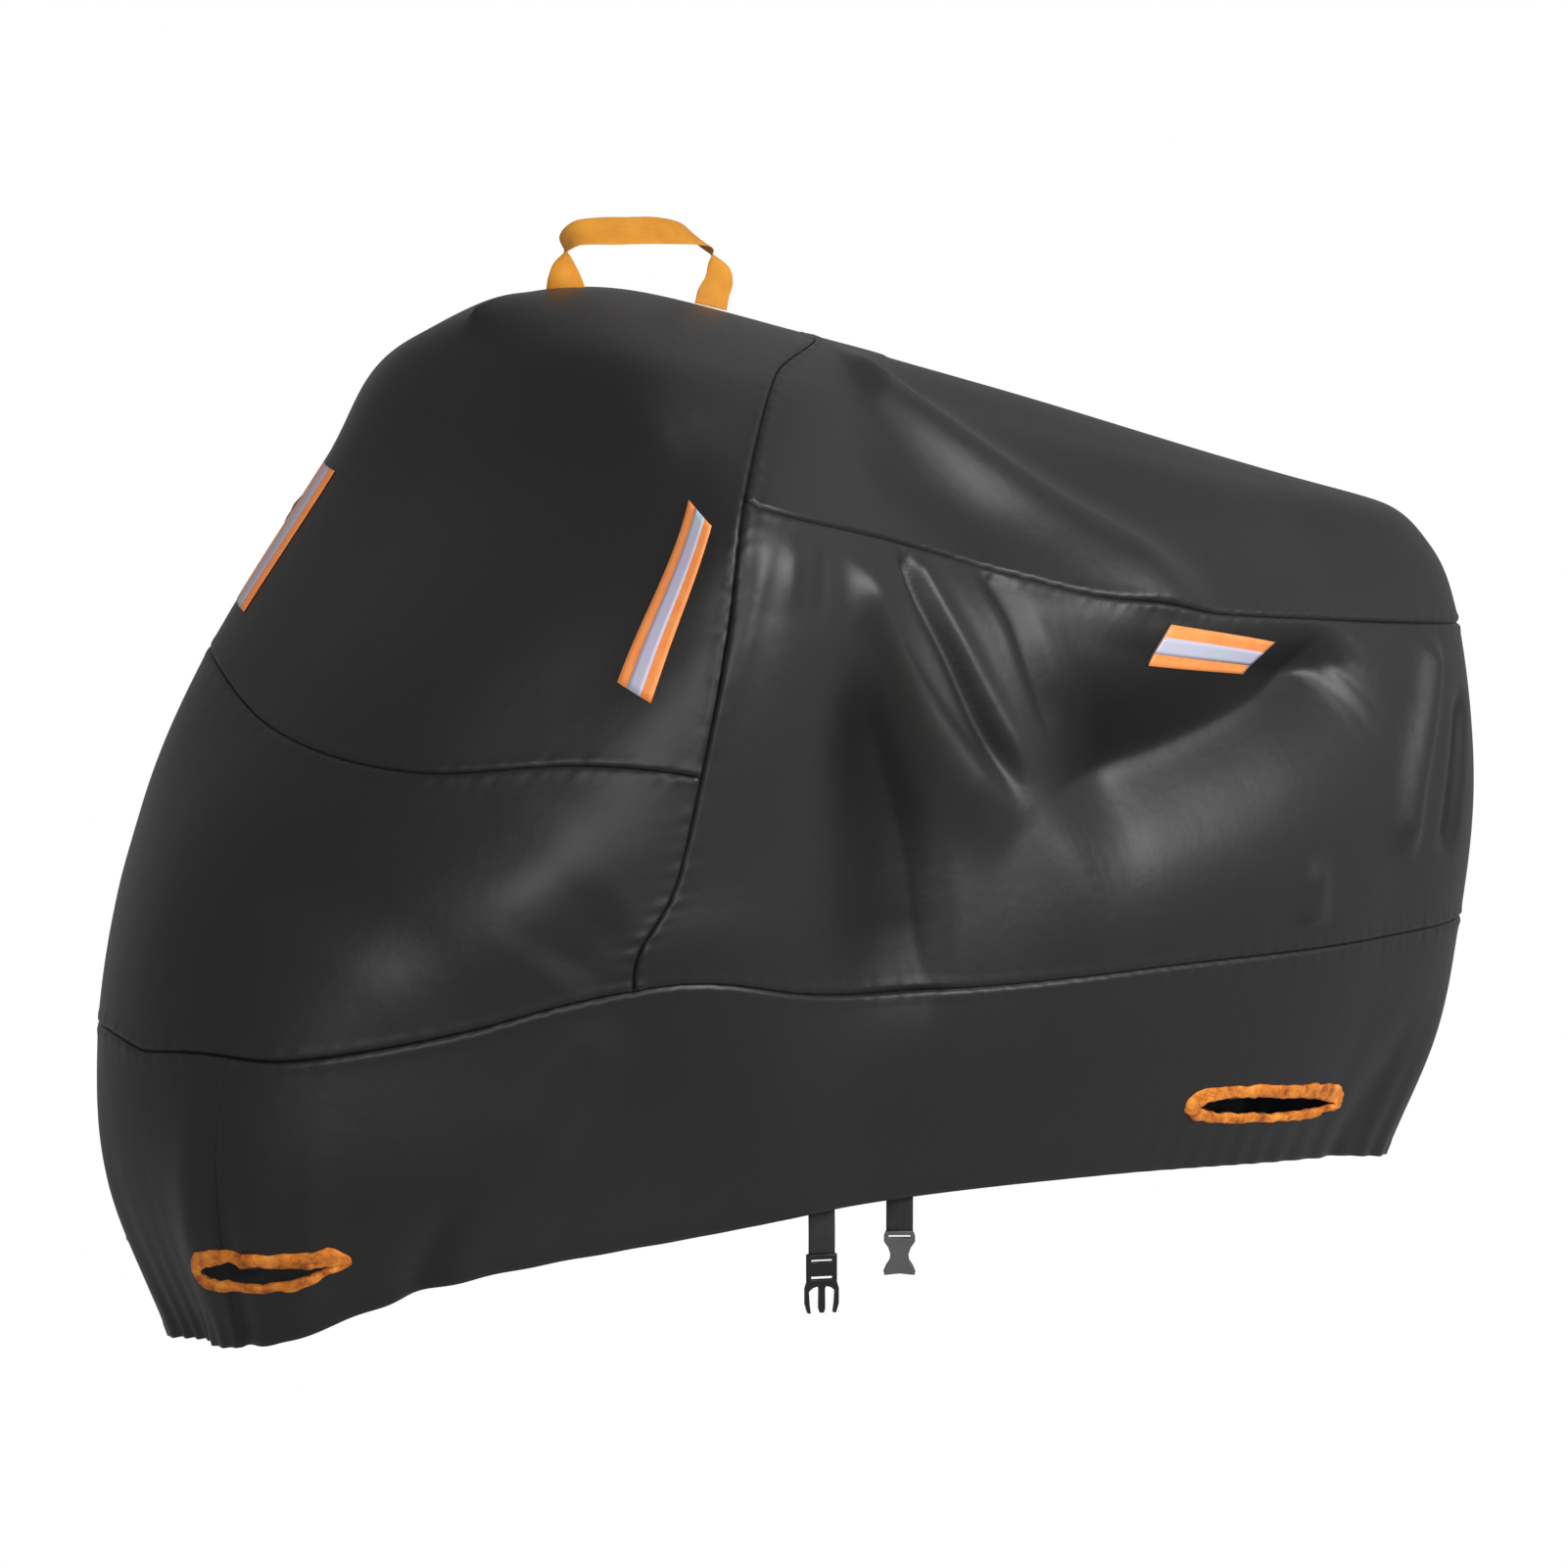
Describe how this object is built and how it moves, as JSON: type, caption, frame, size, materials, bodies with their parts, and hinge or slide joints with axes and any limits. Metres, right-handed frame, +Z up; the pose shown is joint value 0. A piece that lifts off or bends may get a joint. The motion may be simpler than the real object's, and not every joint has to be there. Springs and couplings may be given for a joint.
{
  "type": "motorcycle cover",
  "caption": "Fitted, hollow cloth cover in the shape of the motorcycle it hangs on, with reflective tapes, bound lock slots, a carrying handle and buckled straps.",
  "frame": {"origin": "bottom centre of the cover's box, on the surface under its lowest buckle", "axes": "+X from the front of the cover to its rear, +Y to its far side, +Z up"},
  "size_m": [2.2424, 0.8918, 1.3986],
  "materials": {
    "cloth": "charcoal woven polyester with a soft sheen",
    "binding": "burnt orange crumpled binding tape",
    "tape": "bright orange tape",
    "band": "silver reflective band",
    "handle_webbing": "amber orange webbing",
    "strap_webbing": "dark grey webbing",
    "buckle_black": "black moulded plastic",
    "buckle_grey": "grey moulded plastic"
  },
  "bodies": {
    "root": {"hood_panel": "cloth", "nose_panel": "cloth", "saddle_panel": "cloth", "side_panel_near": "cloth", "side_panel_far": "cloth", "skirt_near": "cloth", "skirt_far": "cloth", "slot_binding_front_near": "binding", "slot_binding_front_far": "binding", "slot_binding_rear_near": "binding", "slot_binding_rear_far": "binding", "tape_front_near": "tape", "tape_front_far": "tape", "tape_side_near": "tape", "tape_side_far": "tape", "band_front_near": "band", "band_front_far": "band", "band_side_near": "band", "band_side_far": "band", "handle": "handle_webbing", "strap_male": "strap_webbing", "strap_female": "strap_webbing", "buckle_male": "buckle_black", "buckle_female": "buckle_grey"}
  },
  "joints": []
}
